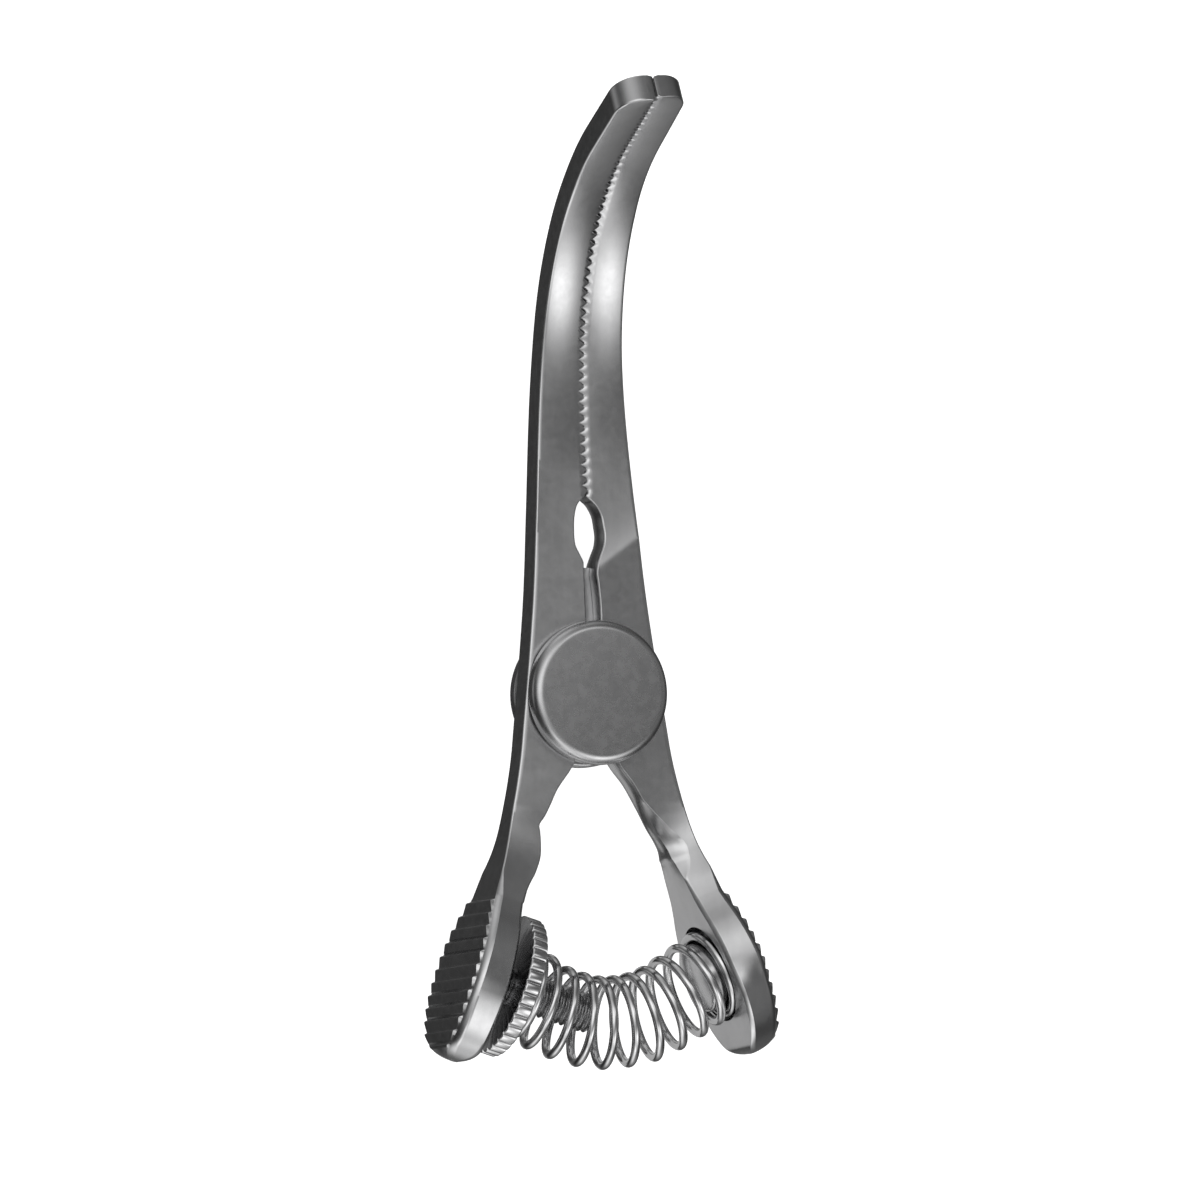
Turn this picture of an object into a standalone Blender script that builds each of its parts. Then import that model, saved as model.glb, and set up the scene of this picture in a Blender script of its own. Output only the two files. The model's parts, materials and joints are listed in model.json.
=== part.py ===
"""Curved spring clamp with an adjustable closing force (surgical bulldog clamp), all in metres.

Two mirrored arms are half-lapped on a pivot pin between two round bosses. Each arm runs from a
serrated jaw, curved up towards +Z, past the pivot to a ribbed thumb plate. A compression spring between
the plates keeps the jaws shut. It sits on a knurled nut, which turns on a threaded stud in the left
plate, and in a round recess in the right plate, over a plain post.

+Y points to the jaw tips, +X to the right arm, +Z along the pivot axis. The world origin is the centre of
the rear boss's flat face, so the clamp lies on it.
"""

import math

import bpy
import numpy as np
from mathutils import Matrix, Vector

MM = 0.001

# pivot
BOSS_RADIUS = 5.83 * MM
BOSS_EDGE = 0.42 * MM
BOSS_SOFTENING = 0.12 * MM
BOSS_BACK_EDGE = 0.08 * MM
BOSS_FACE = 3.10 * MM
PIN_RADIUS = 1.42 * MM
PIN_HALF_LENGTH = 2.55 * MM
PIN_CLEARANCE = 0.04 * MM
PIN_EDGE = 0.15 * MM
SOCKET_CLEARANCE = 0.05 * MM
LUG_RADIUS = 4.90 * MM
LUG_POCKET = 5.05 * MM
SEAT_GAP = 0.03 * MM

# arms
ARM_HALF = 1.26 * MM
TIP_THICKNESS = 2.40 * MM
LUG_SKIN = 0.03 * MM
TONGUE_EDGE = -1.00 * MM
TONGUE_TOP = 10.20 * MM
LAP_CLEARANCE = 0.06 * MM
EDGE_CHAMFER = 0.32 * MM
INNER_CHAMFER = 0.12 * MM

# jaws, measured along the concave front face from JAW_START
JAW_START = 15.50 * MM
JAW_LENGTH = 39.50 * MM
BEND_FROM = 0.45 * MM
BEND_FULL = 16.30 * MM
BEND_RADIUS = 21.30 * MM
BEND_ANGLE = math.radians(62.9)
TIP_CORNER = 1.20 * MM
TOOTH_PITCH = 0.835 * MM
TOOTH_HEIGHT = 0.52 * MM
TOOTH_FROM = 0.88 * MM
JAW_GAP = 0.08 * MM
JAW_RELIEF = 0.45 * MM
GROOVE_WIDTH = 0.60 * MM
GROOVE_DEPTH = 0.28 * MM

# thumb plates
PLATE_TILT = math.radians(19.5)
PLATE_HALF_WIDTH = 5.15 * MM
PLATE_CENTRE = -24.00 * MM
HALF_THICKNESS = 1.50 * MM
PLATE_ROUND = 0.50 * MM
PLATE_INNER_ROUND = 0.30 * MM
PLATE_ROUND_FROM = -14.50 * MM
PLATE_ROUND_RUN = 2.00 * MM
PLATE_OUTLINE_POWER = 2.4
PLATE_END = 0.9
PLATE_END_TAPER = 3.0
RIB_COUNT = 12
RIB_FIRST = -16.30 * MM
RIB_PITCH = 1.04 * MM
RIB_HEIGHT = 0.30 * MM
RIB_LEDGE = 0.05 * MM

# (y, distance from the middle plane) of an arm's outer edge and inner edge, in mm
OUTER_EDGE = (
    (15.5, 4.27), (7.4, 4.93), (3.85, 5.34), (-2.7, 6.20), (-4.9, 6.50), (-8.7, 7.30), (-13.3, 8.65),
    (-15.9, 9.86), (-19.6, 11.50), (-23.2, 12.85), (-26.9, 13.98), (-30.5, 14.95),
)
JAW_EDGE = (
    (15.5, 4.27), (19.4, 4.00), (23.3, 3.75), (27.2, 3.53), (31.0, 3.39), (34.7, 3.26), (37.5, 3.17),
    (40.2, 3.06), (42.9, 3.01), (44.6, 2.95), (46.5, 2.87),
)
LEFT_WINDOW = (
    (15.9, 0.12), (15.4, 0.62), (14.4, 1.00), (13.4, 1.11), (12.6, 1.12), (11.9, 1.03), (11.3, 0.75),
    (10.6, 0.43), (8.3, 0.43), (5.0, 0.43),
)
RIGHT_WINDOW = (
    (15.9, 0.12), (15.5, 0.59), (14.5, 1.23), (13.4, 1.44), (12.75, 1.50), (11.95, 1.38), (11.05, 0.99),
    (10.3, 0.70), (9.8, 0.62), (8.7, 0.70), (7.1, 0.80), (5.0, 0.80),
)
LEFT_HANDLE = (
    (0.0, 0.60), (-4.0, 1.20), (-5.0, 1.60), (-6.0, 2.20), (-7.7, 3.49), (-8.95, 4.15), (-9.9, 4.71),
    (-10.5, 5.16), (-11.0, 5.12), (-12.3, 5.15), (-13.1, 5.29), (-13.9, 5.64), (-14.5, 5.98), (-15.1, 6.43),
    (-16.0, 6.97), (-16.8, 7.31),
)
RIGHT_HANDLE = (
    (0.0, 0.60), (-4.0, 1.10), (-5.0, 1.45), (-5.9, 1.95), (-7.35, 3.02), (-8.6, 3.72), (-9.8, 4.34),
    (-11.0, 4.95), (-11.9, 5.52), (-12.7, 5.95), (-13.6, 6.18),
)
HALF_DEPTH = (
    (-9.0, 1.26), (-10.0, 1.28), (-11.3, 1.37), (-12.5, 1.57), (-13.75, 1.93), (-15.0, 2.40), (-16.2, 2.86),
    (-17.4, 3.45), (-18.6, 4.15), (-19.8, 4.67), (-21.0, 4.97), (-22.4, 5.12), (-24.0, 5.15),
)
TILT_FROM = -6.0 * MM
TILT_FULL = -17.0 * MM

# spring seat and adjuster
SEAT_X = 9.50 * MM
SEAT_Y = -22.80 * MM
HOLE_DEPTH = 1.90 * MM
HOLE_FLOOR_GAP = 0.10 * MM
RECESS_RADIUS = 4.05 * MM
RECESS_DEPTH = 0.60 * MM
HOLE_CLEARANCE = 0.05 * MM
STUD_RADIUS = 1.65 * MM
STUD_LENGTH = 9.10 * MM
THREAD_PITCH = 0.50 * MM
THREAD_DEPTH = 0.26 * MM
THREAD_RUNOUT = 0.40 * MM
STUD_POINT = 0.45 * MM
NUT_RADIUS = 5.80 * MM
NUT_THICKNESS = 1.30 * MM
NUT_STANDOFF = 1.00 * MM
NUT_CHAMFER = 0.18 * MM
NUT_BORE = 1.71 * MM
KNURL_COUNT = 36
KNURL_DEPTH = 0.28 * MM
POST_RADIUS = 2.84 * MM
POST_LENGTH = 1.35 * MM
POST_ROUND = 0.30 * MM
SPIGOT_RADIUS = 1.50 * MM

# compression spring
WIRE_RADIUS = 0.36 * MM
COIL_RADIUS = 3.46 * MM
SEAT_TURN = 0.78 * MM
GROUND_END = 0.3
SPRING_TURNS = (-1.9, 9.3)
# (turn, x, y, angle of the coil's axis in degrees) of the bowed centreline, in mm
SPRING_LINE = (
    (0.0, -5.04, -24.97, -24.4),
    (1.0, -3.45, -25.68, -19.0),
    (2.0, -1.64, -26.26, -11.7),
    (3.0, 0.12, -26.50, -3.5),
    (4.0, 1.88, -26.37, 4.2),
    (5.0, 3.71, -26.02, 12.0),
    (6.0, 5.46, -25.25, 18.3),
    (7.0, 7.12, -24.33, 22.3),
    (8.0, 8.64, -23.39, 21.5),
    (8.5, 9.26, -22.99, 19.8),
)

STEELS = {
    "left_arm": ((0.52, 0.52, 0.53), 0.30),
    "right_arm": ((0.53, 0.53, 0.54), 0.30),
    "pivot_pin": ((0.50, 0.50, 0.51), 0.35),
    "front_pivot_disc": ((0.55, 0.55, 0.55), 0.28),
    "rear_pivot_disc": ((0.55, 0.55, 0.55), 0.28),
    "tension_stud": ((0.48, 0.48, 0.50), 0.32),
    "tension_nut": ((0.50, 0.50, 0.51), 0.30),
    "compression_spring": ((0.46, 0.46, 0.47), 0.22),
    "spring_post": ((0.58, 0.58, 0.58), 0.15),
}


def clear_scene():
    for obj in list(bpy.data.objects):
        bpy.data.objects.remove(obj, do_unlink=True)


def steel(name):
    colour, roughness = STEELS[name]
    material = bpy.data.materials.new(name + "_steel")
    material.use_nodes = True
    shader = material.node_tree.nodes["Principled BSDF"]
    shader.inputs["Base Color"].default_value = (*colour, 1.0)
    shader.inputs["Metallic"].default_value = 1.0
    shader.inputs["Roughness"].default_value = roughness
    return material


def frame(name, parent, location=(0, 0, 0), rotation=(0, 0, 0)):
    empty = bpy.data.objects.new(name, None)
    empty.empty_display_size = 2 * MM
    bpy.context.scene.collection.objects.link(empty)
    empty.parent = parent
    empty.location = location
    empty.rotation_euler = rotation
    return empty


def body(name, points, faces, parent, location=(0, 0, 0), sharp=35.0):
    mesh = bpy.data.meshes.new(name)
    mesh.from_pydata([tuple(p) for p in points], [], faces)
    mesh.update()
    obj = bpy.data.objects.new(name, mesh)
    bpy.context.scene.collection.objects.link(obj)
    obj.parent = parent
    obj.location = location
    if name in STEELS:
        mesh.materials.append(steel(name))
    mesh.shade_smooth()
    mesh.set_sharp_from_angle(angle=math.radians(sharp))
    return obj


def cutter(name, points, faces, parent, location=(0, 0, 0)):
    obj = body(name, points, faces, parent, location)
    obj.hide_render = True
    obj.display_type = "WIRE"
    return obj


def boolean(obj, other, operation):
    modifier = obj.modifiers.new(other.name, "BOOLEAN")
    modifier.operation = operation
    modifier.object = other
    modifier.solver = "EXACT"


def table(rows, value):
    """Smooth curve through rows of (key, value) in mm, whichever way the keys run."""
    keys = np.array([r[0] for r in rows]) * MM
    values = np.array([r[1] for r in rows]) * MM
    if keys[0] > keys[-1]:
        keys, values = keys[::-1], values[::-1]
    slopes = np.gradient(values, keys)
    value = min(max(value, keys[0]), keys[-1])
    i = int(min(max(np.searchsorted(keys, value) - 1, 0), len(keys) - 2))
    h = keys[i + 1] - keys[i]
    t = (value - keys[i]) / h
    rise = values[i + 1] - values[i]
    flat = 3 * abs(rise) / h
    a = float(np.clip(slopes[i], -flat, flat)) * h
    b = float(np.clip(slopes[i + 1], -flat, flat)) * h
    return values[i] + t * a + t * t * (3 * rise - 2 * a - b) + t**3 * (a + b - 2 * rise)


def loft(rings):
    """Closed skin over rings of equal length, with a flat cap on the first and the last."""
    count = len(rings[0])
    points = [p for ring in rings for p in ring]
    faces = [tuple(range(count))[::-1]]
    for k in range(len(rings) - 1):
        for i in range(count):
            j = (i + 1) % count
            faces.append((k * count + i, k * count + j, (k + 1) * count + j, (k + 1) * count + i))
    last = (len(rings) - 1) * count
    faces.append(tuple(range(last, last + count)))
    return points, faces


def lathe(profile, segments):
    """Solid of revolution about Z. The profile starts and ends on the axis and runs bottom to top outside."""
    points = [(0.0, 0.0, profile[0][1])]
    for radius, height in profile[1:-1]:
        for k in range(segments):
            angle = math.tau * k / segments
            points.append((radius * math.cos(angle), radius * math.sin(angle), height))
    points.append((0.0, 0.0, profile[-1][1]))
    faces = []
    rows = len(profile) - 2
    for k in range(segments):
        m = (k + 1) % segments
        faces.append((0, 1 + m, 1 + k))
        for r in range(rows - 1):
            a = 1 + r * segments
            b = a + segments
            faces.append((a + k, a + m, b + m, b + k))
        top = 1 + (rows - 1) * segments
        faces.append((len(points) - 1, top + k, top + m))
    return points, faces


def cylinder(radius, low, high, segments=48):
    return lathe([(0, low), (radius, low), (radius, high), (0, high)], segments)


def block(low, high):
    points = [(x, y, z) for z in (low[2], high[2]) for y in (low[1], high[1]) for x in (low[0], high[0])]
    faces = [(0, 2, 3, 1), (4, 5, 7, 6), (0, 1, 5, 4), (2, 6, 7, 3), (0, 4, 6, 2), (1, 3, 7, 5)]
    return points, faces


def jaw_path():
    """(distance, y, z, slope) along the middle of the jaws' front face, in fine steps."""
    along = np.linspace(0.0, JAW_LENGTH, 2001)
    ramp = np.clip((along - BEND_FROM) / (BEND_FULL - BEND_FROM), 0.0, 1.0)
    step = along[1] - along[0]
    slope = np.minimum(np.cumsum(ramp) * step / BEND_RADIUS, BEND_ANGLE)
    y = JAW_START + np.concatenate([[0.0], np.cumsum(np.cos(slope[1:]) * step)])
    z = ARM_HALF + np.concatenate([[0.0], np.cumsum(np.sin(slope[1:]) * step)])
    return along, y, z, slope


def tooth(distance):
    """-1 to 1, a triangle wave along the mating faces, nothing before the first tooth."""
    if distance < TOOTH_FROM:
        return 0.0
    phase = (distance - TOOTH_FROM) / TOOTH_PITCH + 0.5
    return 4 * abs(phase - math.floor(phase + 0.5)) - 1


def section(origin, across, width, depth, corners):
    """Eight-sided section. It starts at the outer front edge, and corners holds (across, back) of each chamfer."""
    (a, b), (c, d), (e, f), (g, h) = corners
    flat = (
        (0, b), (a, 0), (width - c, 0), (width, d),
        (width, depth - f), (width - e, depth), (g, depth), (0, depth - h),
    )
    back = Vector(origin[1])
    start = Vector(origin[0])
    return [start + Vector(across) * p + back * q for p, q in flat]


def jaw_rings(side):
    """Rings from the tip back to JAW_START. side is -1 for the left arm and 1 for the right."""
    along, path_y, path_z, path_slope = jaw_path()
    teeth = np.arange(TOOTH_FROM, JAW_LENGTH, TOOTH_PITCH / 2)
    corner = [JAW_LENGTH - TIP_CORNER * (1 - math.sin(math.radians(a))) for a in (0, 30, 52, 70, 90)]
    stops = [0.0, *teeth[teeth < corner[1]], *corner[1:]]
    rings = []
    for distance in reversed(stops):
        y = float(np.interp(distance, along, path_y))
        z = float(np.interp(distance, along, path_z))
        slope = float(np.interp(distance, along, path_slope))
        edge = table(JAW_EDGE, y)
        past = (distance - (JAW_LENGTH - TIP_CORNER)) / TIP_CORNER
        if past > 0:
            edge -= TIP_CORNER * (1 - math.sqrt(max(0.0, 1 - past * past)))
        inner = JAW_GAP / 2 + side * TOOTH_HEIGHT / 2 * tooth(distance)
        if distance < TOOTH_FROM:
            inner = JAW_RELIEF
        shoulder = GROOVE_WIDTH + inner if distance < TOOTH_FROM else GROOVE_WIDTH + JAW_GAP / 2
        thickness = 2 * ARM_HALF + (TIP_THICKNESS - 2 * ARM_HALF) * distance / JAW_LENGTH
        chamfer = (EDGE_CHAMFER, EDGE_CHAMFER)
        groove = (shoulder - inner, GROOVE_DEPTH)
        back_edge = (shoulder - inner, 0.5 * GROOVE_DEPTH)
        back = (0.0, math.sin(slope), -math.cos(slope))
        rings.append(
            section(
                ((side * edge, y, z), back),
                (-side, 0, 0),
                edge - inner,
                thickness,
                (chamfer, groove, back_edge, chamfer),
            )
        )
    return rings


def inner_edge(side, y):
    """Distance of an arm's inner edge from the middle plane: window, slot, bow, then the flat plate."""
    rows = LEFT_WINDOW + LEFT_HANDLE if side < 0 else RIGHT_WINDOW + RIGHT_HANDLE
    if y < rows[-1][0] * MM:
        return SEAT_X + (SEAT_Y - y) * math.tan(PLATE_TILT)
    return table(rows, y)


def arm_rings(side):
    rings = jaw_rings(side)
    levels = [15.2, 14.6, 13.9, 13.1, 12.3, 11.6, 11.0, 10.4, 9.8, 8.4, 6.2, 3.0, 0.0, -3.0, -5.0, -6.2]
    levels += [-7.2, -8.2, -9.2, -10.0, -10.4, -10.8, -11.5, -12.3, -13.1, -13.9, -14.7, -15.5, -16.2]
    stations = [(y * MM, 0.0) for y in levels]
    for rib in range(RIB_COUNT):
        ledge = RIB_FIRST - rib * RIB_PITCH
        lean = HALF_THICKNESS * math.sin(PLATE_TILT)
        stations.append((ledge + RIB_LEDGE - lean, 0.0))
        stations.append((ledge - RIB_LEDGE - lean, RIB_HEIGHT))
    bottom = PLATE_CENTRE - PLATE_HALF_WIDTH
    stations += [(bottom + 0.30 * MM, 0.0), (bottom, 0.0)]
    for y, rise in sorted(stations, reverse=True):
        tilt = PLATE_TILT * min(max((TILT_FROM - y) / (TILT_FROM - TILT_FULL), 0.0), 1.0)
        lean = HALF_THICKNESS * math.sin(tilt)
        outer = Vector((table(OUTER_EDGE, y + lean), y + lean, 0))
        inner = Vector((inner_edge(side, y - lean), y - lean, 0))
        across = (inner - outer).normalized()
        width = (inner - outer).length
        below = min(max((PLATE_CENTRE - y) / PLATE_HALF_WIDTH, 0.0), 0.995)
        half = table(HALF_DEPTH, y) * math.sqrt(1 - below**PLATE_OUTLINE_POWER)
        ribbed = min(max((PLATE_ROUND_FROM - y) / PLATE_ROUND_RUN, 0.0), 1.0)
        outer = outer + across * (ribbed * RIB_HEIGHT / 2 - rise)
        width = width - ribbed * RIB_HEIGHT / 2 + rise
        squeeze = max(0.0, below - PLATE_END) * PLATE_END_TAPER
        outer = outer + across * squeeze * width / 2
        width = width * (1 - squeeze)
        chamfer = EDGE_CHAMFER + ribbed * (PLATE_ROUND - EDGE_CHAMFER)
        chamfer = min(chamfer, 0.8 * half)
        inside = min(INNER_CHAMFER + ribbed * (PLATE_INNER_ROUND - INNER_CHAMFER), 0.8 * half)
        rings.append(
            section(
                ((side * outer.x, outer.y, half), (0, 0, -1)),
                (side * across.x, across.y, 0),
                width,
                2 * half,
                ((chamfer, chamfer), (inside, inside), (inside, inside), (chamfer, chamfer)),
            )
        )
    return rings


def arm(name, side, parent):
    points, faces = loft(arm_rings(side))
    if side > 0:
        faces = [f[::-1] for f in faces]
    obj = body(name, points, faces, parent)
    # side -1 keeps the front half of the lap, side 1 the rear half
    front = -side
    skin = front * LUG_SKIN
    far = front * -3 * ARM_HALF
    low, high = min(-skin, far), max(-skin, far)
    boolean(obj, cutter(name + "_pocket", *cylinder(LUG_POCKET, low, high, 64), parent), "DIFFERENCE")
    if side < 0:
        left = TONGUE_EDGE - LAP_CLEARANCE
        top = TONGUE_TOP + LAP_CLEARANCE
        box = block((left, -1 * MM, low), (4 * MM, top, high))
        boolean(obj, cutter(name + "_lap", *box, parent), "DIFFERENCE")
    face = front * (ARM_HALF - SEAT_GAP)
    low, high = min(skin, face), max(skin, face)
    boolean(obj, cutter(name + "_lug", *cylinder(LUG_RADIUS, low, high, 48), parent), "UNION")
    if side > 0:
        box = block((TONGUE_EDGE, 3 * MM, low), (2 * MM, TONGUE_TOP, high))
        boolean(obj, cutter(name + "_tongue", *box, parent), "UNION")
    bore = cylinder(PIN_RADIUS + PIN_CLEARANCE, -2 * ARM_HALF, 2 * ARM_HALF, 32)
    boolean(obj, cutter(name + "_bore", *bore, parent), "DIFFERENCE")
    return obj


def boss(name, parent, turned):
    low = ARM_HALF + SEAT_GAP
    socket = PIN_HALF_LENGTH + SOCKET_CLEARANCE
    bore = PIN_RADIUS + PIN_CLEARANCE
    profile = [
        (0, socket),
        (bore, socket),
        (bore, low),
        (BOSS_RADIUS - BOSS_BACK_EDGE, low),
        (BOSS_RADIUS, low + BOSS_BACK_EDGE),
        (BOSS_RADIUS, BOSS_FACE - BOSS_EDGE),
        (BOSS_RADIUS - BOSS_SOFTENING, BOSS_FACE - BOSS_SOFTENING),
        (BOSS_RADIUS - BOSS_EDGE, BOSS_FACE),
        (0, BOSS_FACE),
    ]
    obj = body(name, *lathe(profile, 56), parent)
    if turned:
        obj.rotation_euler = (0, math.pi, 0)
    return obj


def pin(name, parent):
    profile = [
        (0, -PIN_HALF_LENGTH),
        (PIN_RADIUS - PIN_EDGE, -PIN_HALF_LENGTH),
        (PIN_RADIUS, -PIN_HALF_LENGTH + PIN_EDGE),
        (PIN_RADIUS, PIN_HALF_LENGTH - PIN_EDGE),
        (PIN_RADIUS - PIN_EDGE, PIN_HALF_LENGTH),
        (0, PIN_HALF_LENGTH),
    ]
    return body(name, *lathe(profile, 32), parent)


def stud(name, parent):
    """Right-hand thread: the ridge climbs one pitch in each turn anticlockwise."""
    around = 14
    low = HOLE_FLOOR_GAP - HOLE_DEPTH
    rows = int((STUD_LENGTH - low) / (THREAD_PITCH / 3))
    rings = []
    for k in range(rows + 1):
        height = low + (STUD_LENGTH - low) * k / rows
        fade = min(1.0, max(0.0, height / THREAD_RUNOUT + 0.5))
        end = max(0.0, 1 - (STUD_LENGTH - height) / STUD_POINT)
        ring = []
        for i in range(around):
            turn = i / around
            phase = height / THREAD_PITCH - turn
            groove = abs(2 * (phase - math.floor(phase)) - 1)
            radius = STUD_RADIUS - THREAD_DEPTH * groove * fade - STUD_POINT * end * end
            angle = math.tau * turn
            ring.append((radius * math.cos(angle), radius * math.sin(angle), height))
        rings.append(ring)
    return body(name, *loft(rings), parent, sharp=60)


def nut(name, parent):
    """Coin-edged disc around Z, its plate side at height 0."""
    rim = []
    for k in range(KNURL_COUNT):
        for part, cut in ((0.10, 0), (0.72, 0), (0.91, KNURL_DEPTH)):
            rim.append((math.tau * (k + part) / KNURL_COUNT, NUT_RADIUS - cut))
    levels = (
        (0.0, None),
        (0.0, NUT_CHAMFER),
        (NUT_CHAMFER, 0.0),
        (NUT_THICKNESS - NUT_CHAMFER, 0.0),
        (NUT_THICKNESS, NUT_CHAMFER),
        (NUT_THICKNESS, None),
    )
    points = []
    for height, inset in levels:
        for angle, radius in rim:
            r = NUT_BORE if inset is None else radius - inset
            points.append((r * math.cos(angle), r * math.sin(angle), height))
    count = len(rim)
    faces = []
    for level in range(len(levels)):
        after = (level + 1) % len(levels)
        for i in range(count):
            j = (i + 1) % count
            faces.append((level * count + i, level * count + j, after * count + j, after * count + i))
    return body(name, points, faces, parent, location=(0, 0, NUT_STANDOFF))


def post(name, parent):
    foot = HOLE_FLOOR_GAP - HOLE_DEPTH
    floor = SEAT_GAP - RECESS_DEPTH
    profile = [(0, foot), (SPIGOT_RADIUS, foot), (SPIGOT_RADIUS, floor), (POST_RADIUS, floor)]
    for step in range(5):
        angle = math.radians(90 * step / 4)
        out = POST_RADIUS - POST_ROUND * (1 - math.cos(angle))
        profile.append((out, POST_LENGTH - POST_ROUND * (1 - math.sin(angle))))
    profile.append((0, POST_LENGTH))
    return body(name, *lathe(profile, 36), parent)


def spring_rows():
    """(turn, x, y, angle) from the coil seated on the nut to the coil in the right plate's recess."""
    first, last = SPRING_TURNS
    across = math.cos(PLATE_TILT)
    down = math.sin(PLATE_TILT)
    lift = NUT_STANDOFF + NUT_THICKNESS + WIRE_RADIUS + SEAT_GAP
    start = (-SEAT_X + lift * across, SEAT_Y - lift * down)
    seat = WIRE_RADIUS + SEAT_GAP - RECESS_DEPTH
    end = (SEAT_X - seat * across, SEAT_Y - seat * down)
    rows = [
        (first, start[0], start[1], -PLATE_TILT),
        (first + 1, start[0] + SEAT_TURN * across, start[1] - SEAT_TURN * down, -PLATE_TILT),
    ]
    rows += [(t, x * MM, y * MM, math.radians(a)) for t, x, y, a in SPRING_LINE]
    rows += [(turn, end[0], end[1], PLATE_TILT) for turn in (last - GROUND_END, last)]
    return rows


def spring(name, parent, per_turn=14, around=7):
    rows = spring_rows()
    keys = np.array([r[0] for r in rows])
    first, last = SPRING_TURNS
    steps = int((last - first) * per_turn)
    centres = []
    for k in range(steps + 1):
        turn = first + (last - first) * k / steps
        x, y, angle = (blend_rows(keys, [r[c] for r in rows], turn) for c in (1, 2, 3))
        # right-hand helix: turn 0 puts the wire at the bottom of the coil, and it rises on the -Z side
        swing = math.tau * turn
        down = Vector((math.sin(angle), -math.cos(angle), 0))
        reach = down * math.cos(swing) - Vector((0, 0, 1)) * math.sin(swing)
        centres.append(Vector((x, y, 0)) + reach * COIL_RADIUS)
    rings = []
    for k, centre in enumerate(centres):
        ahead = centres[min(k + 1, steps)] - centres[max(k - 1, 0)]
        ahead.normalize()
        turn = first + (last - first) * k / steps
        angle = blend_rows(keys, [r[3] for r in rows], turn)
        axis = Vector((math.cos(angle), math.sin(angle), 0))
        side = axis.cross(ahead).normalized()
        other = ahead.cross(side).normalized()
        ring = []
        for i in range(around):
            phase = math.tau * i / around
            ring.append(centre + (side * math.cos(phase) + other * math.sin(phase)) * WIRE_RADIUS)
        rings.append(ring)
    return body(name, *loft(rings), parent, sharp=70)


def blend_rows(keys, values, key):
    slopes = np.gradient(np.array(values), keys)
    i = int(min(max(np.searchsorted(keys, key) - 1, 0), len(keys) - 2))
    h = keys[i + 1] - keys[i]
    t = (key - keys[i]) / h
    rise = values[i + 1] - values[i]
    a = slopes[i] * h
    b = slopes[i + 1] * h
    return float(values[i] + t * a + t * t * (3 * rise - 2 * a - b) + t**3 * (a + b - 2 * rise))


def seat_frame(name, parent, side):
    """Empty on a plate's inner face, its Z axis pointing away from the plate."""
    normal = Vector((-side * math.cos(PLATE_TILT), -math.sin(PLATE_TILT), 0))
    turn = Matrix((Vector((0, 0, 1)), normal.cross(Vector((0, 0, 1))), normal)).transposed()
    return frame(name, parent, (side * SEAT_X, SEAT_Y, 0), turn.to_euler())


def build():
    clear_scene()
    pivot = frame("pivot_axis", None, (0, 0, BOSS_FACE))
    right_side = frame("right_side", pivot)
    left_seat = seat_frame("left_seat", pivot, -1)
    right_seat = seat_frame("right_seat", right_side, 1)

    left = arm("left_arm", -1, pivot)
    hole = cylinder(STUD_RADIUS + HOLE_CLEARANCE, -HOLE_DEPTH, 1 * MM, 32)
    boolean(left, cutter("stud_hole", *hole, left_seat), "DIFFERENCE")

    right = arm("right_arm", 1, right_side)
    recess = cylinder(RECESS_RADIUS, -RECESS_DEPTH, 1 * MM, 48)
    boolean(right, cutter("spring_recess", *recess, right_seat), "DIFFERENCE")
    hole = cylinder(SPIGOT_RADIUS + HOLE_CLEARANCE, -HOLE_DEPTH, 1 * MM, 32)
    boolean(right, cutter("post_hole", *hole, right_seat), "DIFFERENCE")

    pin("pivot_pin", pivot)
    boss("front_pivot_disc", pivot, False)
    boss("rear_pivot_disc", pivot, True)
    stud("tension_stud", left_seat)
    nut("tension_nut", left_seat)
    post("spring_post", right_seat)
    spring("compression_spring", pivot)


build()
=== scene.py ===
"""Looks of the curved spring clamp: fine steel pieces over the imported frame, a pale studio and the camera.

Every piece is built round the pivot, in the frame's own axes: +Y to the jaw tips, +X to the right arm, and
+Z along the pivot axis, towards which the jaws curve.
"""

import json
import math

import bpy
import numpy as np
from mathutils import Matrix, Vector

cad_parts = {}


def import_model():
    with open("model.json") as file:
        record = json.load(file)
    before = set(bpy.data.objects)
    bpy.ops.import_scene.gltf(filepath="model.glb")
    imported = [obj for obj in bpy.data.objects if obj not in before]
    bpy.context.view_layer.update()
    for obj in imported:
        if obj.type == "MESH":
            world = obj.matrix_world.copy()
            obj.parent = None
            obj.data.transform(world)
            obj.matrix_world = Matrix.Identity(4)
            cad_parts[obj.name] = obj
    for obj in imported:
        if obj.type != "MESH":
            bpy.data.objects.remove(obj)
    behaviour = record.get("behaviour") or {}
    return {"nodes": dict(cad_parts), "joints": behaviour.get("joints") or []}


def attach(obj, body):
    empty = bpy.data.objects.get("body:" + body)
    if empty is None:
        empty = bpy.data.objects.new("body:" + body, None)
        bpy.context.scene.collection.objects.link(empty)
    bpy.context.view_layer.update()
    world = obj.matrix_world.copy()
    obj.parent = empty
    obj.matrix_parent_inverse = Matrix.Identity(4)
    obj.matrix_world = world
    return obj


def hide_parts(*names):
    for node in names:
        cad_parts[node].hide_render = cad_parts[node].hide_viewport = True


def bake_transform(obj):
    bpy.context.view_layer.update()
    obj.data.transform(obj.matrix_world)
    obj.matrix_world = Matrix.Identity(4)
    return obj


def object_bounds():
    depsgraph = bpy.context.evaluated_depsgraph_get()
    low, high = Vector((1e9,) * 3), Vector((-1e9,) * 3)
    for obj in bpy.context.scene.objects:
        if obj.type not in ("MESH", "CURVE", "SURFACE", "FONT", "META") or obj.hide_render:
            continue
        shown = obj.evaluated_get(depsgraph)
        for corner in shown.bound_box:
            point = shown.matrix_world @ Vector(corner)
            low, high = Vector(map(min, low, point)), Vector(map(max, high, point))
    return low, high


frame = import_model()
cad_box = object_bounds()

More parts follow.
